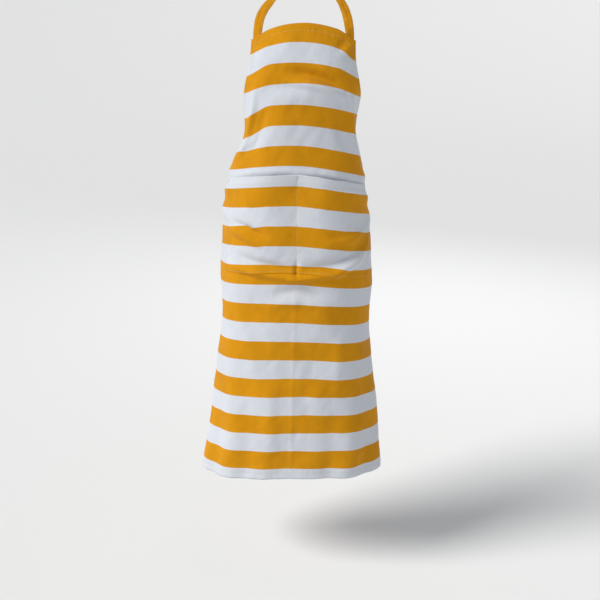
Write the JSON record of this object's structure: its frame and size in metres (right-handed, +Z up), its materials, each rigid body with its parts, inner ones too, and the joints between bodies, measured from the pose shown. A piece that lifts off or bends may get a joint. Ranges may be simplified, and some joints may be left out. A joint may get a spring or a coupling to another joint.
{
  "type": "bib apron",
  "caption": "Full-length bib apron in broad yellow and white stripes, shaped as worn, with a neck strap, divided front pocket and waist ties in a bow.",
  "frame": {"origin": "middle of the neck strap at the nape, where the apron hangs", "axes": "+Z up along the apron's length, the front faces -Y, +X to the right as seen from the front"},
  "size_m": [0.4717, 0.3036, 1.2555],
  "materials": {
    "striped_canvas": "matte",
    "yellow_tape": "matte",
    "cream_thread": "matte"
  },
  "bodies": {
    "apron": {"apron_panel": "striped_canvas", "bib_top_hem": "striped_canvas", "armhole_facing_left": "striped_canvas", "armhole_facing_right": "striped_canvas", "side_hem_left": "striped_canvas", "side_hem_right": "striped_canvas", "bottom_hem": "striped_canvas", "pocket_panel": "striped_canvas", "pocket_mouth_hem_left": "striped_canvas", "pocket_mouth_hem_right": "striped_canvas", "neck_strap": "yellow_tape", "waist_tie_left": "yellow_tape", "waist_tie_right": "yellow_tape", "bow_knot": "yellow_tape", "bib_top_thread": "cream_thread", "edge_thread_left": "cream_thread", "edge_thread_right": "cream_thread", "bottom_hem_thread": "cream_thread", "pocket_seam_thread": "cream_thread", "pocket_divider_thread": "cream_thread", "strap_tack_left": "cream_thread", "strap_tack_right": "cream_thread", "tie_tack_left": "cream_thread", "tie_tack_right": "cream_thread"},
    "loop_left": {"bow_loop_left": "yellow_tape"},
    "loop_right": {"bow_loop_right": "yellow_tape"},
    "tail_left": {"tie_tail_left": "yellow_tape"},
    "tail_right": {"tie_tail_right": "yellow_tape"}
  },
  "joints": [
    {"name": "left_loop_lift", "type": "hinge", "parent": "apron", "child": "loop_left", "pos_m": [0, 0.119, -0.4949], "axis": [0, 1, 0], "range_deg": [0, 50]},
    {"name": "right_loop_lift", "type": "hinge", "parent": "apron", "child": "loop_right", "pos_m": [0, 0.119, -0.4949], "axis": [0, -1, 0], "range_deg": [0, 50]},
    {"name": "left_tail_sway", "type": "hinge", "parent": "apron", "child": "tail_left", "pos_m": [-0.011, 0.107, -0.4949], "axis": [0, 1, 0], "range_deg": [-40, 40]},
    {"name": "right_tail_sway", "type": "hinge", "parent": "apron", "child": "tail_right", "pos_m": [0.011, 0.107, -0.4949], "axis": [0, 1, 0], "range_deg": [-40, 40]}
  ]
}
